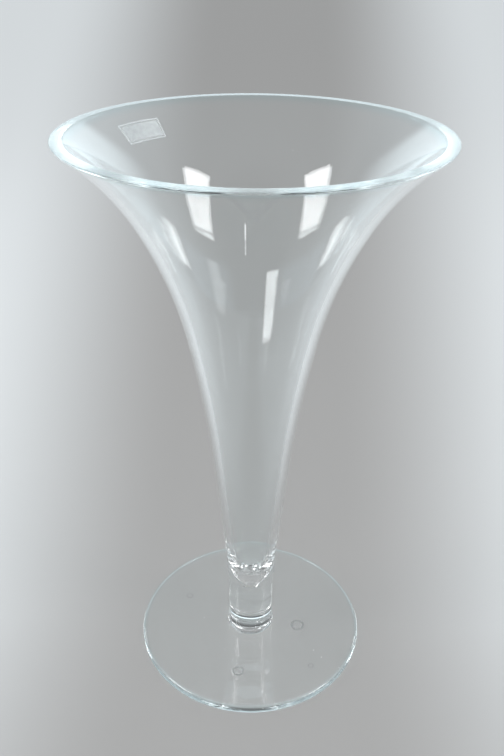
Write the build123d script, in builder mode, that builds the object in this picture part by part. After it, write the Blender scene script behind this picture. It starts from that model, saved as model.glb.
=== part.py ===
from build123d import *
import os
from math import cos, radians, sin

# Clear glass trumpet vase, in millimetres. A blown trumpet bowl, a solid drawn stem and a flat
# spun foot are fused to each other while hot, and a blank film label sticks under the lip.
# +Z runs up the vase's axis, and the origin is the centre of the foot's underside.

# Overall sizes
vase_height = 300.0
lip_corner_radius = 88.85  # outer wall carried up to the lip plane, before its corner is eased

# Foot: a flat disc with a fire-rounded edge
foot_radius = 66.0
foot_thickness = 4.6
foot_rim_height = 2.0  # height of the edge's widest ring
foot_top_inset = 3.4  # how far in from the rim the edge starts to round over, on top
foot_underside_inset = 1.6  # the same, underneath
round_steps = 2  # flat steps in each quarter of a small rounding

# Stem: a solid rod, with a bead squeezed out where it was pressed on the foot
stem_radius = 13.05
stem_length = 37.8  # from the foot up to the crease, the ring where the bowl enters the stem
bead_height = 3.8
bead_bulge = 0.75
bead_seat_bulge = 0.35  # how far the bead still stands out where it meets the foot
bead_crest_height = 1.6  # height of the bead's widest ring above the foot

# Lower end of the bowl, measured from the crease
bowl_end_depth = 7.4  # down to the flat bottom of the tapered end, inside the stem
bowl_end_radius = 6.0
bulb_rise = 4.1  # up to the ring where the shoulder turns into the wall
bulb_radius = 13.85
cone_foot_rise = 15.6  # up to where the wall becomes a straight cone
cone_foot_radius = 14.3

# Outer wall of the bowl: heights as shares of its rise from the crease to the lip, and radii there
waist_height_share = 0.313
waist_radius = 20.7
throat_height_share = 0.616
throat_radius = 32.87
bell_height_share = 0.849
bell_radius = 55.4

# Wall and hollow of the bowl
wall_low = 4.4
wall_lip = 3.9
hollow_depth = 3.8  # from the crease down to the lowest point of the hollow
hollow_end_length = 34.0  # from there up to where its bullet-shaped end becomes a straight cone
hollow_end_fullness = 0.552  # reach of the end's curve handles; 0.552 gives a quarter of an ellipse
lip_outer_ease = 1.0  # how far the bevel reaches back from the lip's outer corner
lip_inner_ease = 0.6  # the same at its inner corner

# Blank film label under the lip
label_width = 25.6
label_height = 11.0
label_corner = 0.8
label_film = 0.15
label_drop = 11.9  # along the outer wall, from the lip's bevel to the label's upper edge
label_azimuth = 140.2  # degrees from +X towards +Y
label_margin_share = 0.5  # film trimmed off above and below, as a share of the label's height

# Heights that follow from these sizes
crease_height = foot_thickness + stem_length
bowl_end_height = crease_height - bowl_end_depth
hollow_floor_height = crease_height - hollow_depth
bowl_rise = vase_height - crease_height
waist_height = crease_height + bowl_rise * waist_height_share
throat_height = crease_height + bowl_rise * throat_height_share
bell_height = crease_height + bowl_rise * bell_height_share


def beside(point, heading, distance):
    """Point at the given distance to the left of the heading."""
    return Vector(point) + Vector(-heading.Y, heading.X).normalized() * distance


def wall_at(height):
    """Thickness of the bowl's wall, which thins evenly from the waist up to the lip."""
    return wall_low + (wall_lip - wall_low) * (height - waist_height) / (vase_height - waist_height)


def quarter_round(centre, across, up, start_angle):
    """Points of a quarter ellipse in flat steps, from the start angle round by 90 degrees."""
    angles = [radians(start_angle + 90 * step / round_steps) for step in range(round_steps + 1)]
    return [Vector(centre) + Vector(across * cos(angle), up * sin(angle)) for angle in angles]


# Foot
with BuildPart() as foot:
    with BuildSketch(Plane.XZ):
        with BuildLine():
            low_centre = (foot_radius - foot_underside_inset, foot_rim_height)
            high_centre = (foot_radius - foot_top_inset, foot_rim_height)
            lower_edge = quarter_round(low_centre, foot_underside_inset, foot_rim_height, -90)
            upper_edge = quarter_round(high_centre, foot_top_inset, foot_thickness - foot_rim_height, 0)
            Polyline((0, 0), *lower_edge, *upper_edge[1:], (0, foot_thickness), close=True)
        make_face()
    revolve(axis=Axis.Z)

# Stem, whose cupped top holds the tapered end of the bowl
crease = (stem_radius, crease_height)
bowl_end = (bowl_end_radius, bowl_end_height)
with BuildPart() as stem:
    with BuildSketch(Plane.XZ):
        with BuildLine():
            seat_edge = (stem_radius + bead_seat_bulge, foot_thickness)
            bead_centre = (stem_radius, foot_thickness + bead_crest_height)
            bead = quarter_round(bead_centre, bead_bulge, bead_height - bead_crest_height, 0)
            cup = [crease, bowl_end, (0, bowl_end_height)]
            Polyline((0, foot_thickness), seat_edge, *bead, *cup, close=True)
        make_face()
    revolve(axis=Axis.Z)

# Bowl: a tapered end, a long cone and a flare of three arcs, each tangent to the one below
waist = (waist_radius, waist_height)
throat = (throat_radius, throat_height)
bell = (bell_radius, bell_height)
lip_corner = Vector(lip_corner_radius, vase_height)
with BuildPart() as trumpet_bowl:
    with BuildSketch(Plane.XZ) as wall_section:
        with BuildLine():
            cone = Line((cone_foot_radius, crease_height + cone_foot_rise), waist)
            lower_flare = TangentArc(waist, throat, tangent=cone % 1)
            middle_flare = TangentArc(throat, bell, tangent=lower_flare % 1)
            upper_flare = TangentArc(bell, lip_corner, tangent=middle_flare % 1)
            bulb_ring = (bulb_radius, crease_height + bulb_rise)
            bulb = TangentArc(cone @ 0, bulb_ring, tangent=(cone % 0) * -1)
            TangentArc(bulb @ 1, crease, tangent=bulb % 1)
            Line(crease, bowl_end)

            # The hollow: a bullet-shaped end that runs into an inner cone parallel to the outer one
            up_cone = cone % 1
            inner_waist = beside(waist, up_cone, wall_low)
            end_rise = hollow_floor_height + hollow_end_length - inner_waist.Y
            end_edge = inner_waist + up_cone * (end_rise / up_cone.Y)
            floor_handle = (end_edge.X * hollow_end_fullness, hollow_floor_height)
            edge_handle = end_edge - up_cone * (hollow_end_length * hollow_end_fullness / up_cone.Y)
            floor = Bezier((0, hollow_floor_height), floor_handle, edge_handle, end_edge)
            inner_cone = Line(end_edge, inner_waist)

            # The inner flare follows the outer one at the wall's thickness
            inner_throat = beside(throat, lower_flare % 1, wall_at(throat_height))
            inner_bell = beside(bell, middle_flare % 1, wall_at(bell_height))
            inner_corner = lip_corner - Vector(wall_lip / (upper_flare % 1).Y, 0)
            inner_lower = TangentArc(inner_waist, inner_throat, tangent=inner_cone % 1)
            inner_middle = TangentArc(inner_throat, inner_bell, tangent=inner_lower % 1)
            TangentArc(inner_bell, inner_corner, tangent=inner_middle % 1)
            Line(inner_corner, lip_corner)
            Polyline(floor @ 0, (0, bowl_end_height), bowl_end)
        make_face()
        inner_lip, outer_lip = wall_section.vertices().group_by(Axis.Y)[-1].sort_by(Axis.X)
        chamfer(outer_lip, lip_outer_ease)
        chamfer(inner_lip, lip_inner_ease)
    revolve(axis=Axis.Z)

# Label: a ring of film on the outer wall, trimmed to a rectangle that faces squarely off the wall
label_middle_share = 1 - (lip_outer_ease + label_drop + label_height / 2) / upper_flare.length
film_reach_share = (1 / 2 + label_margin_share) * label_height / upper_flare.length
label_middle = upper_flare @ label_middle_share
label_climb = upper_flare % label_middle_share
outward = Vector(cos(radians(label_azimuth)), sin(radians(label_azimuth)))
with BuildPart() as blank_label:
    with BuildSketch(Plane.XZ):
        with BuildLine():
            film_start = upper_flare @ (label_middle_share - film_reach_share)
            film_end = upper_flare @ (label_middle_share + film_reach_share)
            film_heading = upper_flare % (label_middle_share - film_reach_share)
            film_back = TangentArc(film_start, film_end, tangent=film_heading)
            film_low = beside(film_start, film_heading, -label_film)
            film_high = beside(film_end, film_back % 1, -label_film)
            TangentArc(film_low, film_high, tangent=film_heading)
            Line(film_start, film_low)
            Line(film_end, film_high)
        make_face()
    revolve(axis=Axis.Z)
    label_centre = outward * label_middle.X + Vector(0, 0, label_middle.Y)
    label_normal = outward * label_climb.Y - Vector(0, 0, label_climb.X)
    across = Vector(-outward.Y, outward.X)
    with BuildSketch(Plane(origin=label_centre, x_dir=across, z_dir=label_normal)):
        RectangleRounded(label_width, label_height, label_corner)
    extrude(amount=label_height, both=True, mode=Mode.INTERSECT)

# One file for each piece
os.makedirs("parts", exist_ok=True)
foot.part.label = "foot"
export_step(foot.part, "parts/foot.step")
stem.part.label = "stem"
export_step(stem.part, "parts/stem.step")
trumpet_bowl.part.label = "trumpet_bowl"
export_step(trumpet_bowl.part, "parts/trumpet_bowl.step")
blank_label.part.label = "blank_label"
export_step(blank_label.part, "parts/blank_label.step")
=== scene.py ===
"""Clear glass trumpet vase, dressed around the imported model.

The bowl, the stem and the foot are turned on one lathe of geometry nodes, from outlines drawn in millimetres
with true arcs and rounded edges. The faces where they were fused to each other are left clear, so that light
crosses them as it crosses one piece of glass. A blank film label follows the flare under the lip.
"""

import logging
import math
from collections.abc import Mapping, Sequence
from dataclasses import dataclass, field
from enum import Enum

import bpy
from mathutils import Matrix, Vector


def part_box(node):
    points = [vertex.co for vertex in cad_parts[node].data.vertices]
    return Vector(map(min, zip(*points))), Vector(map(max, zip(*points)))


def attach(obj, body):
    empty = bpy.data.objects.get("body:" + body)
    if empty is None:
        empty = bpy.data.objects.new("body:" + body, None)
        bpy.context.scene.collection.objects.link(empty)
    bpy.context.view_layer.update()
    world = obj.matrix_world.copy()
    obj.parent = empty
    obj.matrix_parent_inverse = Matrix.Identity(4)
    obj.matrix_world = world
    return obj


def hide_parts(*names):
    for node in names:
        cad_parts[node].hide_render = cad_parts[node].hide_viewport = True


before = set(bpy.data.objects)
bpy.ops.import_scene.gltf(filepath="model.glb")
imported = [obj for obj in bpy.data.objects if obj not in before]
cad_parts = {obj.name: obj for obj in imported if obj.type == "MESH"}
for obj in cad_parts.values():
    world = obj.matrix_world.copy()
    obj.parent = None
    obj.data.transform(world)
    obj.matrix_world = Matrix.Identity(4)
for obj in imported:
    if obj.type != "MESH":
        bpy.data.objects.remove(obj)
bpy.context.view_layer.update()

MM = 0.001
BODY = "root"
Colour = tuple[float, float, float]
log = logging.getLogger("trumpet_vase")


class Socket:
    """An output of a node, which takes part in sums as a plain number does."""

    def __init__(self, tree: "NodeTree", link: bpy.types.NodeSocket) -> None:
        """Keeps the tree that the output belongs to, and the output itself."""
        self.tree = tree
        self.link = link

    def _sum(self, operation: str, *terms: "Socket | float") -> "Socket":
        """Adds one Math node with the given terms."""
        return self.tree.node("ShaderNodeMath", {"operation": operation}, dict(enumerate(terms)))

    def __add__(self, other: "Socket | float") -> "Socket":
        """This plus the other."""
        return self._sum("ADD", self, other)

    def __radd__(self, other: "Socket | float") -> "Socket":
        """The other plus this."""
        return self._sum("ADD", other, self)

    def __sub__(self, other: "Socket | float") -> "Socket":
        """This less the other."""
        return self._sum("SUBTRACT", self, other)

    def __rsub__(self, other: "Socket | float") -> "Socket":
        """The other less this."""
        return self._sum("SUBTRACT", other, self)

    def __mul__(self, other: "Socket | float") -> "Socket":
        """This times the other."""
        return self._sum("MULTIPLY", self, other)

    def __rmul__(self, other: "Socket | float") -> "Socket":
        """The other times this."""
        return self._sum("MULTIPLY", other, self)

    def __truediv__(self, other: "Socket | float") -> "Socket":
        """This over the other."""
        return self._sum("DIVIDE", self, other)

    def __mod__(self, other: "Socket | float") -> "Socket":
        """The rest of this over the other."""
        return self._sum("MODULO", self, other)

    def __abs__(self) -> "Socket":
        """This without its sign."""
        return self._sum("ABSOLUTE", self)

    def root(self) -> "Socket":
        """Its square root."""
        return self._sum("SQRT", self)

    def floor(self) -> "Socket":
        """The whole number at or below it."""
        return self._sum("FLOOR", self)

    def cosine(self) -> "Socket":
        """Its cosine, as an angle in radians."""
        return self._sum("COSINE", self)

    def sine(self) -> "Socket":
        """Its sine, as an angle in radians."""
        return self._sum("SINE", self)

    def most(self, other: "Socket | float") -> "Socket":
        """The larger of this and the other."""
        return self._sum("MAXIMUM", self, other)

    def least(self, other: "Socket | float") -> "Socket":
        """The smaller of this and the other."""
        return self._sum("MINIMUM", self, other)

    def above(self, limit: "Socket | float") -> "Socket":
        """1 where it is over the limit, else 0."""
        return self._sum("GREATER_THAN", self, limit)

    def ramp(self, low: float, high: float) -> "Socket":
        """A smooth step from 0 at low to 1 at high.

        Args:
            low: Value that gives 0.
            high: Value that gives 1. It may be the smaller one, for a step down.

        Returns:
            The stepped number.
        """
        sockets = {"Value": self, "From Min": low, "From Max": high}
        return self.tree.node("ShaderNodeMapRange", {"interpolation_type": "SMOOTHSTEP"}, sockets)

    def other(self, name: str) -> "Socket":
        """Another output of the same node, by its name."""
        return Socket(self.tree, self.link.node.outputs[name])


class NodeTree:
    """A node tree that is filled by one node-making method."""

    def __init__(self, tree: bpy.types.NodeTree) -> None:
        """Empties the tree and keeps it."""
        self.tree = tree
        tree.nodes.clear()

    def node(
        self,
        kind: str,
        settings: Mapping[str, object] | None = None,
        sockets: Mapping[int | str, object] | None = None,
        out: int | str = 0,
    ) -> Socket:
        """Makes a node.

        Args:
            kind: The node's type.
            settings: Its own settings, which are set first.
            sockets: Values or links of its inputs, by name or place.
            out: The output that is wanted, by name or place.

        Returns:
            That output.
        """
        made = self.tree.nodes.new(kind)
        for name, value in (settings or {}).items():
            setattr(made, name, value)
        for key, value in (sockets or {}).items():
            target = made.inputs[key]
            if isinstance(value, Socket):
                self.tree.links.new(value.link, target)
            elif target.type == "RGBA" and len(value) == 3:
                target.default_value = (*value, 1.0)
            else:
                target.default_value = value
        return Socket(self, made.outputs[out] if len(made.outputs) else None)

    def mix(self, share: Socket, first: object, second: object) -> Socket:
        """Mixes two colours.

        Args:
            share: 0 for the first colour, 1 for the second.
            first: A colour or a link.
            second: A colour or a link.

        Returns:
            The mixed colour.
        """
        return self.node("ShaderNodeMix", {"data_type": "RGBA"}, {0: share, 6: first, 7: second}, out=2)

    def axes(self, vector: Socket) -> tuple[Socket, Socket, Socket]:
        """The three parts of a vector."""
        parts = self.node("ShaderNodeSeparateXYZ", sockets={0: vector})
        return parts, parts.other("Y"), parts.other("Z")


class MaterialTree(NodeTree):
    """The node tree of a new material."""

    def __init__(self, name: str) -> None:
        """Makes a material of that name with an empty tree."""
        self.material = bpy.data.materials.new(name)
        self.material.use_nodes = True
        super().__init__(self.material.node_tree)

    def place(self) -> Socket:
        """A point of the surface in the vase's own frame, in metres."""
        return self.node("ShaderNodeTexCoord", out="Object")

    def finish(self, surface: Socket) -> bpy.types.Material:
        """Sends a shader to the material's output and gives back the material."""
        self.node("ShaderNodeOutputMaterial", sockets={"Surface": surface})
        return self.material


class EdgeTint(Enum):
    """Where a glass piece has a long edge that light runs along, which shows the glass's own tint."""

    NONE = "none"
    LIP = "lip"
    FOOT_RIM = "foot rim"


@dataclass(frozen=True)
class WaterRing:
    """A ring that a drop of water left when it dried, in millimetres."""

    x: float
    y: float
    radius: float
    band: float = 0.75
    strength: float = 0.9

    def mask(self, across: Socket, along: Socket) -> Socket:
        """How strongly the ring marks a point.

        Args:
            across: The point's x, in metres.
            along: The point's y, in metres.

        Returns:
            A number from 0 to the ring's strength.
        """
        right = across - self.x * MM
        back = along - self.y * MM
        off_ring = abs((right * right + back * back).root() - self.radius * MM)
        return off_ring.ramp(self.band * MM, 0.0) * self.strength


@dataclass(frozen=True)
class ClearGlass:
    """Clear, faintly cool glass with the waves of a blown wall, handling haze, specks and dried water."""

    name: str
    edge: EdgeTint = EdgeTint.NONE
    edge_start: float = 0.0
    edge_end: float = 0.0
    edge_frost: float = 0.0
    rings: tuple[WaterRing, ...] = ()
    rings_above: float = 0.0
    tint: Colour = (0.966, 0.987, 0.99)
    edge_tint: Colour = (0.8, 0.935, 0.96)
    dried_tint: Colour = (0.46, 0.49, 0.5)
    dried_frost: float = 0.6
    lamp_tint: Colour = (0.87, 0.89, 0.895)
    ior: float = 1.52
    wave_scale: float = 34.0
    wave_stretch: float = 0.4
    wave_height: float = 0.035
    wave_detail: float = 1.0
    haze_scale: float = 22.0
    haze_detail: float = 4.0
    haze_start: float = 0.52
    haze_end: float = 0.8
    haze_frost: float = 0.02
    speck_scale: float = 210.0
    speck_size: float = 0.075
    speck_rarity: float = 0.93
    speck_frost: float = 0.55
    satin_start: float = 0.9

    def material(self) -> bpy.types.Material:
        """Makes the glass's material."""
        tree = MaterialTree(self.name)
        place = tree.place()
        edge = self._edge(tree, place)
        dried = self._dried(tree, place)
        surface = tree.node(
            "ShaderNodeBsdfPrincipled",
            sockets={
                "Base Color": self._colour(tree, edge, dried),
                "Roughness": self._frost(tree, place, edge, dried),
                "IOR": self.ior,
                "Transmission Weight": 1.0,
                "Normal": self._waves(tree, place),
            },
        )
        shade = tree.node("ShaderNodeBsdfTransparent", sockets={"Color": self.lamp_tint})
        lamp_ray = tree.node("ShaderNodeLightPath", out="Is Shadow Ray")
        return tree.finish(tree.node("ShaderNodeMixShader", sockets={0: lamp_ray, 1: surface, 2: shade}))

    def _edge(self, tree: MaterialTree, place: Socket) -> Socket | None:
        """How far a point lies in the glass's long edge.

        Args:
            tree: The material's tree.
            place: The point, in metres.

        Returns:
            A number from 0 at the edge's start to 1 at its end, or None where the glass has no such edge.
        """
        if self.edge is EdgeTint.NONE:
            return None
        across, along, height = tree.axes(place)
        measure = height if self.edge is EdgeTint.LIP else (across * across + along * along).root()
        return measure.ramp(self.edge_start * MM, self.edge_end * MM)

    def _colour(self, tree: MaterialTree, edge: Socket | None, dried: Socket | None) -> Socket | Colour:
        """The glass's tint, deeper at its long edge and duller under dried water.

        Args:
            tree: The material's tree.
            edge: How far the point lies in the edge, where the glass has one.
            dried: How strongly dried water marks it, where there is any.

        Returns:
            A colour, or a link to one.
        """
        tone = self.tint if edge is None else tree.mix(edge, self.tint, self.edge_tint)
        return tone if dried is None else tree.mix(dried, tone, self.dried_tint)

    def _dried(self, tree: MaterialTree, place: Socket) -> Socket | None:
        """How strongly dried water marks a point.

        Args:
            tree: The material's tree.
            place: The point, in metres.

        Returns:
            A number from 0 to 1, or None where the glass has no rings.
        """
        if not self.rings:
            return None
        across, along, height = tree.axes(place)
        marked = self.rings[0].mask(across, along)
        for ring in self.rings[1:]:
            marked = marked.most(ring.mask(across, along))
        return marked * height.above(self.rings_above * MM)

    def _frost(self, tree: MaterialTree, place: Socket, edge: Socket | None, dried: Socket | None) -> Socket:
        """Roughness: handling haze, a few specks, dried water rings and a satin edge on clear glass.

        Args:
            tree: The material's tree.
            place: The point, in metres.
            edge: How far it lies in the edge, where the glass has one.
            dried: How strongly dried water marks it, where there is any.

        Returns:
            The roughness.
        """
        cloud = tree.node(
            "ShaderNodeTexNoise",
            sockets={"Vector": place, "Scale": self.haze_scale, "Detail": self.haze_detail},
        )
        haze = cloud.ramp(self.haze_start, self.haze_end) * self.haze_frost
        cells = tree.node("ShaderNodeTexVoronoi", sockets={"Vector": place, "Scale": self.speck_scale})
        lottery, _, size = tree.axes(cells.other("Color"))
        specks = cells.ramp(self.speck_size, self.speck_size / 2) * lottery.above(self.speck_rarity) * size
        frost = haze.most(specks * self.speck_frost)
        if dried is not None:
            frost = frost.most(dried * self.dried_frost)
        if edge is not None and self.edge_frost:
            frost = frost.most(edge.ramp(self.satin_start, 1.0) * self.edge_frost)
        return frost

    def _waves(self, tree: MaterialTree, place: Socket) -> Socket:
        """The slow waves of the blown wall, drawn out along its axis.

        Args:
            tree: The material's tree.
            place: The point, in metres.

        Returns:
            The bumped normal.
        """
        stretch = (1.0, 1.0, self.wave_stretch)
        drawn = tree.node("ShaderNodeMapping", sockets={"Vector": place, "Scale": stretch})
        wave = tree.node(
            "ShaderNodeTexNoise",
            sockets={"Vector": drawn, "Scale": self.wave_scale, "Detail": self.wave_detail},
        )
        sockets = {"Strength": 1.0, "Distance": self.wave_height * MM, "Height": wave}
        return tree.node("ShaderNodeBump", sockets=sockets)


@dataclass(frozen=True)
class FusedFace:
    """The inside of a hot joint, where nothing bends the light."""

    name: str = "fused_face"

    def material(self) -> bpy.types.Material:
        """Makes a material that can't be seen."""
        tree = MaterialTree(self.name)
        return tree.finish(tree.node("ShaderNodeBsdfTransparent", sockets={"Color": (1.0, 1.0, 1.0)}))


@dataclass(frozen=True)
class FrostedFilm:
    """Thin clear film with a pale line round its edge and a clouded field. Lengths are in millimetres."""

    width: float
    height: float
    name: str = "label_film"
    tone: Colour = (0.8, 0.815, 0.825)
    line: float = 0.55
    margin: float = 0.7
    blur: float = 0.15
    line_veil: float = 0.8
    margin_veil: float = 0.12
    field_veil: float = 0.4
    grain_scale: float = 420.0
    grain_low: float = 0.7
    grain_range: float = 0.6
    roughness: float = 0.5

    def material(self) -> bpy.types.Material:
        """Makes the film's material, which reads the label's own map in metres."""
        tree = MaterialTree(self.name)
        across, along, _ = tree.axes(tree.node("ShaderNodeTexCoord", out="UV"))
        inside = (self.width / 2 * MM - abs(across)).least(self.height / 2 * MM - abs(along))
        off_line = inside.ramp(self.line * MM, (self.line + self.blur) * MM)
        field_start = self.line + self.margin
        in_field = inside.ramp(field_start * MM, (field_start + self.blur) * MM)
        grain = tree.node("ShaderNodeTexNoise", sockets={"Vector": tree.place(), "Scale": self.grain_scale})
        veil = self.line_veil - off_line * (self.line_veil - self.margin_veil)
        clouded = veil + in_field * (self.field_veil - self.margin_veil)
        surface = tree.node(
            "ShaderNodeBsdfPrincipled",
            sockets={
                "Base Color": self.tone,
                "Roughness": self.roughness,
                "Alpha": clouded * (self.grain_low + grain * self.grain_range),
            },
        )
        return tree.finish(surface)


@dataclass(frozen=True)
class PalePaper:
    """The plain pale paper that the vase stands on, with painted light that makes it brighter to both sides.
    Lengths are in metres.

    Part of its tone is its own, so that it stays even with distance, and the rest takes the vase's shadow.
    """

    name: str = "pale_paper"
    tone: Colour = (0.42, 0.42, 0.418)
    # Painted light: the paper's tone at both sides is painted brighter, as though side lamps lit it there;
    # the three values below set where this painted light fades in.
    side_painted_light_tone: Colour = (0.83, 0.868, 0.888)
    painted_light_start: float = 0.045
    painted_light_end: float = 0.2
    painted_light_apex: float = 1.2
    even_share: float = 0.6
    roughness: float = 0.95

    def material(self) -> bpy.types.Material:
        """Makes the paper's material."""
        tree = MaterialTree(self.name)
        across, along, _ = tree.axes(tree.place())
        # Painted light: the tone is painted brighter towards both sides, as though lamps lit the paper there,
        # leaving the plain darker tone in the middle; the even glow carries it too.
        aside = abs(across) / (abs(along) + self.painted_light_apex)
        tone = tree.mix(aside.ramp(self.painted_light_start, self.painted_light_end), self.tone, self.side_painted_light_tone)
        lit = tree.node("ShaderNodeBsdfPrincipled", sockets={"Base Color": tone, "Roughness": self.roughness})
        even = tree.node("ShaderNodeEmission", sockets={"Color": tone, "Strength": 1.0})
        ray = tree.node("ShaderNodeLightPath", out="Is Camera Ray")
        seen = ray.most(ray.other("Is Glossy Ray")).most(ray.other("Is Transmission Ray"))
        paper = tree.node("ShaderNodeMixShader", sockets={0: seen * self.even_share, 1: lit, 2: even})
        return tree.finish(paper)


@dataclass(frozen=True)
class Arc:
    """An arc that leaves a point along a heading and ends at another point, as radius and height."""

    start: Vector
    heading: Vector
    end: Vector

    @property
    def left(self) -> Vector:
        """The direction to the left of the heading."""
        return Vector((-self.heading.y, self.heading.x))

    @property
    def radius(self) -> float:
        """The arc's radius, negative where it turns right."""
        chord = self.end - self.start
        return chord.length_squared / (2 * chord.dot(self.left))

    @property
    def turn(self) -> float:
        """How far it turns left, in radians."""
        chord = self.end - self.start
        return 2 * math.atan2(chord.dot(self.left), chord.dot(self.heading))

    @property
    def length(self) -> float:
        """The arc's length."""
        return self.radius * self.turn

    def at(self, share: float) -> Vector:
        """The point at that share of the arc."""
        centre = self.start + self.left * self.radius
        return centre + Matrix.Rotation(self.turn * share, 2) @ (self.start - centre)

    def heading_at(self, share: float) -> Vector:
        """The heading at that share of the arc."""
        return Matrix.Rotation(self.turn * share, 2) @ self.heading


@dataclass
class Outline:
    """Half of a turned piece's section, from point to point, as radius and height in millimetres."""

    points: list[Vector]
    fused: list[bool] = field(default_factory=list)
    heading: Vector = field(default_factory=lambda: Vector((1.0, 0.0)))
    step: float = math.radians(0.7)

    def line(self, end: Sequence[float], fused: bool = False) -> "Outline":
        """Draws a straight run.

        Args:
            end: Where it ends.
            fused: Whether the run lies in a hot joint.

        Returns:
            This outline.
        """
        target = Vector(end)
        self.heading = (target - self.points[-1]).normalized()
        self.points.append(target)
        self.fused.append(fused)
        return self

    def arc(self, end: Sequence[float]) -> Arc:
        """Draws an arc that goes on along the present heading.

        Args:
            end: Where it ends.

        Returns:
            The arc.
        """
        curve = Arc(self.points[-1].copy(), self.heading.copy(), Vector(end))
        count = max(2, math.ceil(abs(curve.turn) / self.step))
        self.points += [curve.at(number / count) for number in range(1, count + 1)]
        self.fused += [False] * count
        self.heading = curve.heading_at(1.0)
        return curve

    def curve(self, first: Vector, second: Vector, end: Vector, count: int = 40) -> "Outline":
        """Draws a smooth curve by two handles.

        Args:
            first: The handle of its start.
            second: The handle of its end.
            end: Where it ends.
            count: How many straight steps it has.

        Returns:
            This outline.
        """
        start = self.points[-1].copy()
        for number in range(1, count + 1):
            on = number / count
            to = 1.0 - on
            self.line(start * to**3 + first * (3 * to * to * on) + second * (3 * to * on * on) + end * on**3)
        return self

    def quarter(
        self, centre: Sequence[float], across: float, up: float, start: float, count: int = 12
    ) -> "Outline":
        """Draws a quarter of an ellipse, counter-clockwise.

        Args:
            centre: The ellipse's centre.
            across: Its half width.
            up: Its half height.
            start: The angle where it starts, in degrees.
            count: How many straight steps it has.

        Returns:
            This outline.
        """
        for number in range(1, count + 1):
            angle = math.radians(start + 90.0 * number / count)
            self.line(Vector(centre) + Vector((across * math.cos(angle), up * math.sin(angle))))
        return self

    def follow(self, upwards: "Outline") -> "Outline":
        """Goes on down along an outline that was drawn upwards."""
        self.points += [point.copy() for point in reversed(upwards.points)]
        self.fused += [False, *reversed(upwards.fused)]
        return self

    def ease(self, corner: Vector, radius: float, count: int = 8) -> "Outline":
        """Rounds a corner, with an arc that touches the runs before and after it.

        Args:
            corner: The corner's place.
            radius: The rounding's radius.
            count: How many straight steps it has.

        Returns:
            This outline.
        """
        at = min(range(len(self.points)), key=lambda number: (self.points[number] - corner).length)
        before = (self.points[at - 1] - self.points[at]).normalized()
        after = (self.points[at + 1] - self.points[at]).normalized()
        setback = radius / math.tan(before.angle(after) / 2)
        first, last = at, at
        while (self.points[first] - corner).length <= setback:
            first -= 1
        while (self.points[last] - corner).length <= setback:
            last += 1
        curve = Arc(corner + before * setback, -before, corner + after * setback)
        self.points[first + 1 : last] = [curve.at(number / count) for number in range(count + 1)]
        self.fused[first:last] = [False] * (count + 2)
        return self


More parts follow.
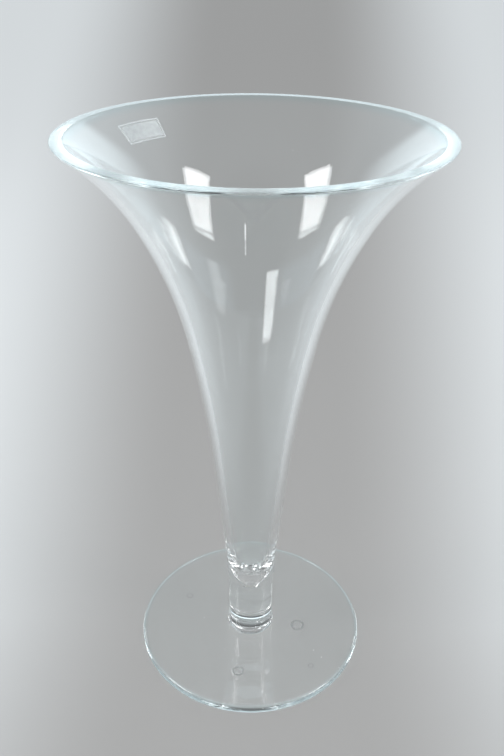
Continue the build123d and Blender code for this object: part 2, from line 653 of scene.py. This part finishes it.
class Lathe:
    """Turns outlines into closed glass by geometry nodes."""

    WELD = 1e-7
    SHARP = math.radians(40)
    FUSED = "fused"

    def __init__(self) -> None:
        """Builds the lathe's node tree."""
        self.group = bpy.data.node_groups.new("lathe", "GeometryNodeTree")
        self.inputs: dict[str, str] = {}
        self._sockets()
        self._nodes()

    def _sockets(self) -> None:
        face = self.group.interface
        for name, kind in (
            ("Outline", "NodeSocketGeometry"),
            ("Segments", "NodeSocketInt"),
            ("Weld", "NodeSocketFloat"),
            ("Sharp", "NodeSocketFloat"),
            ("Glass", "NodeSocketMaterial"),
            ("Joint", "NodeSocketMaterial"),
        ):
            self.inputs[name] = face.new_socket(name=name, in_out="INPUT", socket_type=kind).identifier
        face.new_socket(name="Turned", in_out="OUTPUT", socket_type="NodeSocketGeometry")

    def _nodes(self) -> None:
        """Wraps a grid round the axis, row by row of the outline, and welds its seam and poles."""
        tree = NodeTree(self.group)
        outline = tree.node("NodeGroupInput")
        segments = outline.other("Segments")
        rows = tree.node("GeometryNodeAttributeDomainSize", {"component": "MESH"}, {0: outline})
        sockets = {"Vertices X": segments + 1, "Vertices Y": rows}
        grid = tree.node("GeometryNodeMeshGrid", sockets=sockets)
        index = tree.node("GeometryNodeInputIndex")
        angle = (index / rows).floor() * math.tau / segments
        source = {
            "Geometry": outline,
            "Value": tree.node("GeometryNodeInputPosition"),
            "Index": index % rows,
        }
        point = tree.node("GeometryNodeSampleIndex", {"data_type": "FLOAT_VECTOR", "domain": "POINT"}, source)
        radius, _, height = tree.axes(point)
        spun = {"X": radius * angle.cosine(), "Y": radius * angle.sine(), "Z": height}
        wrapped = tree.node(
            "GeometryNodeSetPosition",
            sockets={"Geometry": grid, "Position": tree.node("ShaderNodeCombineXYZ", sockets=spun)},
        )
        flag = tree.node("GeometryNodeInputNamedAttribute", {"data_type": "BOOLEAN"}, {"Name": self.FUSED})
        runs = {"Geometry": outline, "Value": flag, "Index": index % (rows - 1)}
        joint = tree.node("GeometryNodeSampleIndex", {"data_type": "BOOLEAN", "domain": "EDGE"}, runs)
        marked = tree.node(
            "GeometryNodeStoreNamedAttribute",
            {"data_type": "BOOLEAN", "domain": "FACE"},
            {"Geometry": wrapped, "Name": self.FUSED, "Value": joint},
        )
        welded = tree.node(
            "GeometryNodeMergeByDistance", sockets={"Geometry": marked, "Distance": outline.other("Weld")}
        )
        smooth = tree.node("GeometryNodeSetShadeSmooth", {"domain": "FACE"}, {"Geometry": welded})
        bend = tree.node("GeometryNodeInputMeshEdgeAngle")
        creased = tree.node(
            "GeometryNodeSetShadeSmooth",
            {"domain": "EDGE"},
            {"Geometry": smooth, "Selection": bend.above(outline.other("Sharp")), "Shade Smooth": False},
        )
        real = tree.node("GeometryNodeRealizeInstances", sockets={0: creased})
        glazed = tree.node(
            "GeometryNodeSetMaterial", sockets={"Geometry": real, "Material": outline.other("Glass")}
        )
        cleared = tree.node(
            "GeometryNodeSetMaterial",
            sockets={"Geometry": glazed, "Selection": flag, "Material": outline.other("Joint")},
        )
        tree.node("NodeGroupOutput", sockets={0: cleared})

    def turn(
        self, name: str, outline: Outline, glass: bpy.types.Material, joint: bpy.types.Material, segments: int
    ) -> bpy.types.Object:
        """Turns one piece.

        Args:
            name: The piece's name.
            outline: Its half section, from the axis round its outside and back to the axis.
            glass: The finish of its own surface.
            joint: The finish of its fused faces.
            segments: How many flat steps go round it.

        Returns:
            The piece, as a plain mesh.
        """
        edges = [(number, number + 1) for number in range(len(outline.points) - 1)]
        section = bpy.data.meshes.new(name)
        section.from_pydata([(point.x * MM, 0.0, point.y * MM) for point in outline.points], edges, [])
        flags = section.attributes.new(self.FUSED, "BOOLEAN", "EDGE")
        flags.data.foreach_set("value", outline.fused)
        piece = bpy.data.objects.new(name, section)
        bpy.context.scene.collection.objects.link(piece)
        modifier = piece.modifiers.new("lathe", "NODES")
        modifier.node_group = self.group
        values = {
            "Segments": segments,
            "Weld": self.WELD,
            "Sharp": self.SHARP,
            "Glass": glass,
            "Joint": joint,
        }
        for key, value in values.items():
            modifier[self.inputs[key]] = value
        graph = bpy.context.evaluated_depsgraph_get()
        turned = bpy.data.meshes.new_from_object(piece.evaluated_get(graph))
        piece.modifiers.remove(modifier)
        piece.data = turned
        turned.name = name
        bpy.data.meshes.remove(section)
        return piece


@dataclass(frozen=True)
class Joints:
    """Heights and radii that the glass pieces share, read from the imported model, in millimetres."""

    foot_radius: float
    foot_thickness: float
    crease_height: float
    bowl_end_height: float
    lip_height: float

    @classmethod
    def from_frame(cls) -> "Joints":
        """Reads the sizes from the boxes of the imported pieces."""
        _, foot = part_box("foot")
        _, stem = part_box("stem")
        bowl_low, bowl_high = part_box("trumpet_bowl")
        return cls(foot.x / MM, foot.z / MM, stem.z / MM, bowl_low.z / MM, bowl_high.z / MM)


@dataclass(frozen=True)
class Foot:
    """The flat disc with a fire-rounded edge, in millimetres."""

    joints: Joints
    seat_radius: float = 13.4
    rim_height: float = 2.0
    top_inset: float = 3.4
    underside_inset: float = 1.6
    segments: int = 720
    rings: tuple[WaterRing, ...] = (
        WaterRing(x=29.0, y=-5.5, radius=3.5),
        WaterRing(x=-6.0, y=-41.0, radius=2.8),
        WaterRing(x=-39.0, y=17.0, radius=1.8, strength=0.4),
        WaterRing(x=36.0, y=-36.0, radius=1.4, strength=0.4),
    )

    def outline(self) -> Outline:
        """Its half section, from the middle of its underside round its edge."""
        radius, thickness = self.joints.foot_radius, self.joints.foot_thickness
        low_centre = (radius - self.underside_inset, self.rim_height)
        high_centre = (radius - self.top_inset, self.rim_height)
        drawn = Outline([Vector((0.0, 0.0))])
        drawn.line((radius - self.underside_inset, 0.0))
        drawn.quarter(low_centre, self.underside_inset, self.rim_height, -90.0)
        drawn.quarter(high_centre, self.top_inset, thickness - self.rim_height, 0.0)
        drawn.line((self.seat_radius, thickness))
        return drawn.line((0.0, thickness), fused=True)

    def build(self, lathe: Lathe, joint: bpy.types.Material) -> bpy.types.Object:
        """Turns and dresses the foot.

        Args:
            lathe: The lathe.
            joint: The finish of its fused face.

        Returns:
            The foot.
        """
        edge = self.joints.foot_radius
        glass = ClearGlass(
            "foot_glass",
            EdgeTint.FOOT_RIM,
            edge - self.top_inset,
            edge,
            rings=self.rings,
            rings_above=self.rim_height,
        )
        return lathe.turn("glass_foot", self.outline(), glass.material(), joint, self.segments)


@dataclass(frozen=True)
class Stem:
    """The short solid rod with a bead at its base and a cupped top, in millimetres."""

    joints: Joints
    radius: float = 13.05
    seat_radius: float = 13.4
    bead_bulge: float = 0.75
    bead_crest_height: float = 1.6
    bead_height: float = 3.8
    bead_heading: tuple[float, float] = (0.5, 1.0)
    bowl_end_radius: float = 6.0
    segments: int = 480

    def outline(self) -> Outline:
        """Its half section, from the middle of its seat up to the middle of its cup."""
        base = self.joints.foot_thickness
        crest = base + self.bead_crest_height
        drawn = Outline([Vector((0.0, base))]).line((self.seat_radius, base), fused=True)
        drawn.heading = Vector(self.bead_heading).normalized()
        drawn.arc((self.radius + self.bead_bulge, crest))
        drawn.quarter((self.radius, crest), self.bead_bulge, self.bead_height - self.bead_crest_height, 0.0)
        drawn.line((self.radius, self.joints.crease_height))
        drawn.line((self.bowl_end_radius, self.joints.bowl_end_height), fused=True)
        return drawn.line((0.0, self.joints.bowl_end_height), fused=True)

    def build(self, lathe: Lathe, joint: bpy.types.Material) -> bpy.types.Object:
        """Turns and dresses the stem.

        Args:
            lathe: The lathe.
            joint: The finish of its fused faces.

        Returns:
            The stem.
        """
        glass = ClearGlass("stem_glass").material()
        return lathe.turn("glass_stem", self.outline(), glass, joint, self.segments)


@dataclass(frozen=True)
class TrumpetBowl:
    """The blown trumpet: a tapered end, a long cone, a flare of three arcs and a flat lip, in millimetres."""

    joints: Joints
    stem_radius: float = 13.05
    end_radius: float = 6.0
    bulb_rise: float = 4.1
    bulb_radius: float = 13.85
    shoulder_step: float = 4.0
    cone_rise: float = 15.6
    cone_radius: float = 14.3
    waist_share: float = 0.313
    waist_radius: float = 20.7
    throat_share: float = 0.616
    throat_radius: float = 32.87
    bell_share: float = 0.849
    bell_radius: float = 55.4
    lip_corner_radius: float = 88.85
    lip_round: float = 0.45
    lip_satin: float = 0.22
    wall_low: float = 4.4
    wall_lip: float = 3.9
    hollow_depth: float = 3.8
    hollow_end_length: float = 34.0
    hollow_end_fullness: float = 0.552
    segments: int = 320

    def station(self, share: float, radius: float) -> Vector:
        """A ring of the outer wall.

        Args:
            share: Its height, as a share of the rise from the crease to the lip.
            radius: Its radius.

        Returns:
            Its radius and height.
        """
        crease = self.joints.crease_height
        return Vector((radius, crease + (self.joints.lip_height - crease) * share))

    @property
    def waist(self) -> Vector:
        """Where the cone ends and the flare starts."""
        return self.station(self.waist_share, self.waist_radius)

    @property
    def lip_corner(self) -> Vector:
        """Where the outer wall would meet the lip's plane."""
        return Vector((self.lip_corner_radius, self.joints.lip_height))

    def wall(self, height: float) -> float:
        """The wall's thickness, which thins evenly from the waist to the lip."""
        climb = (height - self.waist.y) / (self.joints.lip_height - self.waist.y)
        return self.wall_low + (self.wall_lip - self.wall_low) * climb

    def outer_wall(self) -> tuple[Outline, list[Arc]]:
        """Draws the outer wall upwards from its cone.

        Returns:
            The drawn wall, and its three flaring arcs from the lowest up.
        """
        foot = Vector((self.cone_radius, self.joints.crease_height + self.cone_rise))
        drawn = Outline([foot]).line(self.waist)
        throat = self.station(self.throat_share, self.throat_radius)
        bell = self.station(self.bell_share, self.bell_radius)
        return drawn, [drawn.arc(ring) for ring in (throat, bell, self.lip_corner)]

    def inner_wall(self, cone: Vector, flare: Sequence[Arc]) -> Outline:
        """Draws the hollow upwards, from its bullet-shaped end to the lip.

        Args:
            cone: The outer cone's heading.
            flare: The outer wall's arcs.

        Returns:
            The drawn wall.
        """
        floor = Vector((0.0, self.joints.crease_height - self.hollow_depth))
        waist = self.waist + Vector((-cone.y, cone.x)) * self.wall_low
        end = waist + cone * ((floor.y + self.hollow_end_length - waist.y) / cone.y)
        floor_handle = floor + Vector((end.x * self.hollow_end_fullness, 0.0))
        end_handle = end - cone * (self.hollow_end_length * self.hollow_end_fullness / cone.y)
        drawn = Outline([floor]).curve(floor_handle, end_handle, end)
        drawn.line(waist)
        for arc in flare[:-1]:
            across = Vector((-arc.heading_at(1.0).y, arc.heading_at(1.0).x))
            drawn.arc(arc.end + across * self.wall(arc.end.y))
        drawn.arc(self.lip_corner - Vector((self.wall_lip / flare[-1].heading_at(1.0).y, 0.0)))
        return drawn

    def outline(self) -> Outline:
        """Its half section, from its tapered end's middle, over the lip and down to the hollow's floor."""
        crease = Vector((self.stem_radius, self.joints.crease_height))
        outer, flare = self.outer_wall()
        cone = (self.waist - outer.points[0]).normalized()
        shoulder = Outline([outer.points[0].copy()], heading=-cone, step=math.radians(self.shoulder_step))
        shoulder.arc((self.bulb_radius, crease.y + self.bulb_rise))
        shoulder.arc(crease)
        inner = self.inner_wall(cone, flare)
        drawn = Outline([Vector((0.0, self.joints.bowl_end_height))])
        drawn.line((self.end_radius, self.joints.bowl_end_height), fused=True)
        drawn.line(crease, fused=True)
        drawn.points += [point.copy() for point in reversed(shoulder.points[:-1])] + outer.points[1:]
        drawn.fused += shoulder.fused + outer.fused
        drawn.follow(inner)
        return drawn.ease(self.lip_corner, self.lip_round).ease(inner.points[-1], self.lip_round)

    def build(self, lathe: Lathe, joint: bpy.types.Material) -> bpy.types.Object:
        """Turns and dresses the bowl.

        Args:
            lathe: The lathe.
            joint: The finish of its fused faces.

        Returns:
            The bowl.
        """
        top = self.joints.lip_height
        glass = ClearGlass("bowl_glass", EdgeTint.LIP, top - self.wall_lip, top, edge_frost=self.lip_satin)
        return lathe.turn("glass_trumpet_bowl", self.outline(), glass.material(), joint, self.segments)


@dataclass(frozen=True)
class BlankLabel:
    """The blank film label on the outside of the flare, in millimetres and degrees."""

    bowl: TrumpetBowl
    width: float = 25.6
    height: float = 11.0
    corner: float = 0.8
    film: float = 0.12
    gap: float = 0.03
    lip_distance: float = 12.9
    azimuth: float = 140.2
    rows: int = 40
    columns: int = 60

    def _half_width(self, along: float) -> float:
        """Half of the label's width at a distance along it from its middle, inside its rounded corners."""
        into_corner = max(0.0, abs(along) - (self.height / 2 - self.corner))
        return self.width / 2 - self.corner + math.sqrt(max(0.0, self.corner**2 - into_corner**2))

    def _place(self, across: float, along: float, lift: float) -> Vector:
        """A point of the label on the flare.

        Args:
            across: Distance round the flare from the label's middle.
            along: Distance up the flare from the label's middle.
            lift: Distance off the wall.

        Returns:
            The point, in metres.
        """
        _, flare = self.bowl.outer_wall()
        middle = flare[-1].length - self.lip_distance - self.height / 2
        share = (middle + along) / flare[-1].length
        heading = flare[-1].heading_at(share)
        point = flare[-1].at(share) + Vector((heading.y, -heading.x)) * lift
        angle = math.radians(self.azimuth) + across / flare[-1].at(middle / flare[-1].length).x
        return Vector((point.x * math.cos(angle), point.x * math.sin(angle), point.y)) * MM

    def build(self) -> bpy.types.Object:
        """Lays and dresses the label.

        Returns:
            The label, as a closed film just off the wall.
        """
        vertices, flat = [], []
        for lift in (self.gap, self.gap + self.film):
            for row in range(self.rows + 1):
                along = self.height / 2 * math.sin(math.pi * (row / self.rows - 0.5))
                half = self._half_width(along)
                for column in range(self.columns + 1):
                    across = half * (2 * column / self.columns - 1)
                    vertices.append(self._place(across, along, lift))
                    flat.append((across * MM, along * MM))
        mesh = bpy.data.meshes.new("film_label")
        mesh.from_pydata(vertices, [], self._faces())
        chart = mesh.uv_layers.new(name="label_map")
        for loop in mesh.loops:
            chart.data[loop.index].uv = flat[loop.vertex_index]
        mesh.polygons.foreach_set("use_smooth", [True] * len(mesh.polygons))
        mesh.materials.append(FrostedFilm(self.width, self.height).material())
        label = bpy.data.objects.new("film_label", mesh)
        bpy.context.scene.collection.objects.link(label)
        return label

    def _faces(self) -> list[tuple[int, ...]]:
        """The faces of the film's back, front and edge, all pointing outwards."""
        wide, layer = self.columns + 1, (self.rows + 1) * (self.columns + 1)
        faces = []
        for row in range(self.rows):
            for column in range(self.columns):
                corner = row * wide + column
                quad = (corner, corner + 1, corner + 1 + wide, corner + wide)
                faces.append(tuple(reversed(quad)))
                faces.append(tuple(index + layer for index in quad))
        rim = list(range(wide))
        rim += [row * wide + wide - 1 for row in range(1, self.rows + 1)]
        rim += [self.rows * wide + column for column in range(wide - 2, -1, -1)]
        rim += [row * wide for row in range(self.rows - 1, 0, -1)]
        for here, there in zip(rim, rim[1:] + rim[:1]):
            faces.append((here, there, there + layer, here + layer))
        return faces


@dataclass(frozen=True)
class Softbox:
    """A soft lamp, by its direction from the vase. Lengths are in metres and angles in degrees."""

    name: str
    azimuth: float
    elevation: float
    distance: float
    width: float
    height: float
    radiance: float
    tone: Colour = (1.0, 1.0, 1.0)
    aim: tuple[float, float, float] = (0.0, 0.0, 0.2)

    def hang(self) -> bpy.types.Object:
        """Makes the lamp and turns it to the vase.

        Returns:
            The lamp.
        """
        lamp = bpy.data.lights.new(self.name, "AREA")
        lamp.shape = "RECTANGLE"
        lamp.size, lamp.size_y = self.width, self.height
        lamp.color = self.tone
        lamp.energy = self.radiance * math.pi * self.width * self.height
        turn, lift = math.radians(self.azimuth), math.radians(self.elevation)
        away = Vector((math.sin(turn) * math.cos(lift), -math.cos(turn) * math.cos(lift), math.sin(lift)))
        hung = bpy.data.objects.new(self.name, lamp)
        hung.location = Vector(self.aim) + away * self.distance
        hung.rotation_euler = away.to_track_quat("Z", "Y").to_euler()
        hung.visible_camera = False
        bpy.context.scene.collection.objects.link(hung)
        return hung


class Facing(Enum):
    """A part of the room, as seen from the vase."""

    FRONT = "front"
    SIDE = "side"
    BACK = "back"
    OVERHEAD = "overhead"


@dataclass(frozen=True)
class RoomPatch:
    """A part of the room's wall with its own tone, by the parts of a direction from the vase, from 0 to 1.

    It fades out upwards between the two fade values. As they stand it reaches all the way up.
    """

    facing: Facing
    tone: Colour
    near: float = 0.45
    far: float = 0.85
    fade_start: float = 1.5
    fade_end: float = 2.0

    def mask(self, aside: Socket, behind: Socket, up: Socket) -> Socket:
        """How strongly the patch covers a direction.

        Args:
            aside: The direction's part to the right.
            behind: Its part to the back.
            up: Its upward part.

        Returns:
            A number from 0 to 1.
        """
        measures = {
            Facing.FRONT: behind * -1.0,
            Facing.SIDE: abs(aside),
            Facing.BACK: behind,
            Facing.OVERHEAD: up,
        }
        return measures[self.facing].ramp(self.near, self.far) * up.ramp(self.fade_end, self.fade_start)


@dataclass(frozen=True)
class PhotoCamera:
    """The photo's viewpoint, fitted to the lip, the foot and the outline. Lengths are in millimetres."""

    x: float = 5.95
    distance: float = 355.5
    height: float = 382.2
    pitch: float = 0.5252
    yaw: float = -0.0176
    roll: float = -0.0089
    focal_pixels: float = 800.5
    frame_pixels: float = 756.0
    sensor: float = 36.0
    near_clip: float = 10.0

    def place(self) -> bpy.types.Object:
        """Makes the scene's camera.

        Returns:
            The camera.
        """
        ahead = Vector(
            (
                math.sin(self.yaw) * math.cos(self.pitch),
                math.cos(self.yaw) * math.cos(self.pitch),
                -math.sin(self.pitch),
            )
        )
        right = Vector((math.cos(self.yaw), -math.sin(self.yaw), 0.0))
        level = Matrix((right, right.cross(ahead), -ahead)).transposed()
        turned = level @ Matrix.Rotation(-self.roll, 3, "Z")
        lens = bpy.data.cameras.new("photo_camera")
        lens.sensor_fit = "AUTO"
        lens.sensor_width = self.sensor
        lens.lens = self.focal_pixels / self.frame_pixels * self.sensor
        lens.clip_start = self.near_clip * MM
        camera = bpy.data.objects.new("photo_camera", lens)
        place = Vector((self.x, -self.distance, self.height)) * MM
        camera.matrix_world = Matrix.Translation(place) @ turned.to_4x4()
        bpy.context.scene.collection.objects.link(camera)
        bpy.context.scene.camera = camera
        return camera


@dataclass(frozen=True)
class Studio:
    """The plain studio: a pale floor, soft lamps round the vase and a room with paler and darker walls."""

    floor_reach: float = 8.0
    floor_gap: float = 0.3
    room_tone: Colour = (0.42, 0.425, 0.43)
    patches: tuple[RoomPatch, ...] = (
        RoomPatch(Facing.FRONT, (0.2, 0.2, 0.2)),
        RoomPatch(Facing.SIDE, (0.82, 0.95, 1.04), fade_start=0.18, fade_end=0.3),
        RoomPatch(Facing.BACK, (0.12, 0.12, 0.122), near=0.15, far=0.5),
        RoomPatch(Facing.BACK, (1.3, 1.5, 1.58), near=0.35, far=0.85, fade_start=0.42, fade_end=0.52),
        RoomPatch(Facing.OVERHEAD, (0.5, 0.505, 0.51), near=0.6, far=1.0),
    )
    lamps: tuple[Softbox, ...] = (
        Softbox("softbox_right", 70.0, 36.0, 1.2, 0.44, 0.4, 8.0),
        Softbox("softbox_left", -74.0, 36.0, 1.2, 0.44, 0.4, 8.0),
        Softbox("low_panel_left", -30.0, 4.0, 1.2, 0.4, 0.46, 6.0),
        Softbox("low_panel_right", 66.0, 6.0, 1.2, 0.34, 0.4, 1.4),
        Softbox("side_panel_left", -119.0, 11.0, 1.2, 0.24, 0.3, 6.0),
        Softbox("side_panel_right", 119.0, 11.0, 1.2, 0.24, 0.3, 6.0),
        Softbox("strip_front", 13.0, 29.0, 1.5, 0.035, 0.3, 8.0),
    )
    bounces: int = 96

    def floor(self) -> bpy.types.Object:
        """Lays the floor.

        Returns:
            The floor.
        """
        reach = self.floor_reach
        mesh = bpy.data.meshes.new("pale_floor")
        down = -self.floor_gap * MM
        corners = [(-reach, -reach, down), (reach, -reach, down), (reach, reach, down), (-reach, reach, down)]
        mesh.from_pydata(corners, [], [(0, 1, 2, 3)])
        mesh.materials.append(PalePaper().material())
        laid = bpy.data.objects.new("pale_floor", mesh)
        bpy.context.scene.collection.objects.link(laid)
        return laid

    def room(self) -> None:
        """Lights the room: dim in front and high behind, pale at its sides and low behind."""
        world = bpy.data.worlds.new("studio_room")
        world.use_nodes = True
        tree = NodeTree(world.node_tree)
        aside, behind, up = tree.axes(tree.node("ShaderNodeTexCoord", out="Generated"))
        tone = self.room_tone
        for patch in self.patches:
            tone = tree.mix(patch.mask(aside, behind, up), tone, patch.tone)
        glow = tree.node("ShaderNodeBackground", sockets={"Color": tone, "Strength": 1.0})
        tree.node("ShaderNodeOutputWorld", sockets={"Surface": glow})
        bpy.context.scene.world = world

    def set_up(self) -> None:
        """Lays the floor, hangs the lamps and sets how light is followed."""
        scene = bpy.context.scene
        self.floor()
        for lamp in self.lamps:
            lamp.hang()
        self.room()
        scene.view_settings.view_transform = "Standard"
        scene.cycles.max_bounces = self.bounces
        scene.cycles.transmission_bounces = self.bounces
        scene.cycles.glossy_bounces = self.bounces // 2
        scene.cycles.caustics_reflective = False
        scene.cycles.caustics_refractive = True


def seat(piece: bpy.types.Object, node: str) -> None:
    """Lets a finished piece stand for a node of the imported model.

    Args:
        piece: The finished piece.
        node: The node that it replaces.
    """
    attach(piece, BODY)
    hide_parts(node)
    log.info("%s: %d faces, for %s", piece.name, len(piece.data.polygons), node)


def main() -> None:
    """Builds the vase and its studio."""
    logging.basicConfig(level=logging.INFO, format="%(name)s: %(message)s")
    joints = Joints.from_frame()
    lathe = Lathe()
    joint = FusedFace().material()
    bowl = TrumpetBowl(joints)
    seat(Foot(joints).build(lathe, joint), "foot")
    seat(Stem(joints).build(lathe, joint), "stem")
    seat(bowl.build(lathe, joint), "trumpet_bowl")
    seat(BlankLabel(bowl).build(), "blank_label")
    Studio().set_up()
    PhotoCamera().place()


if __name__ == "__main__":
    main()
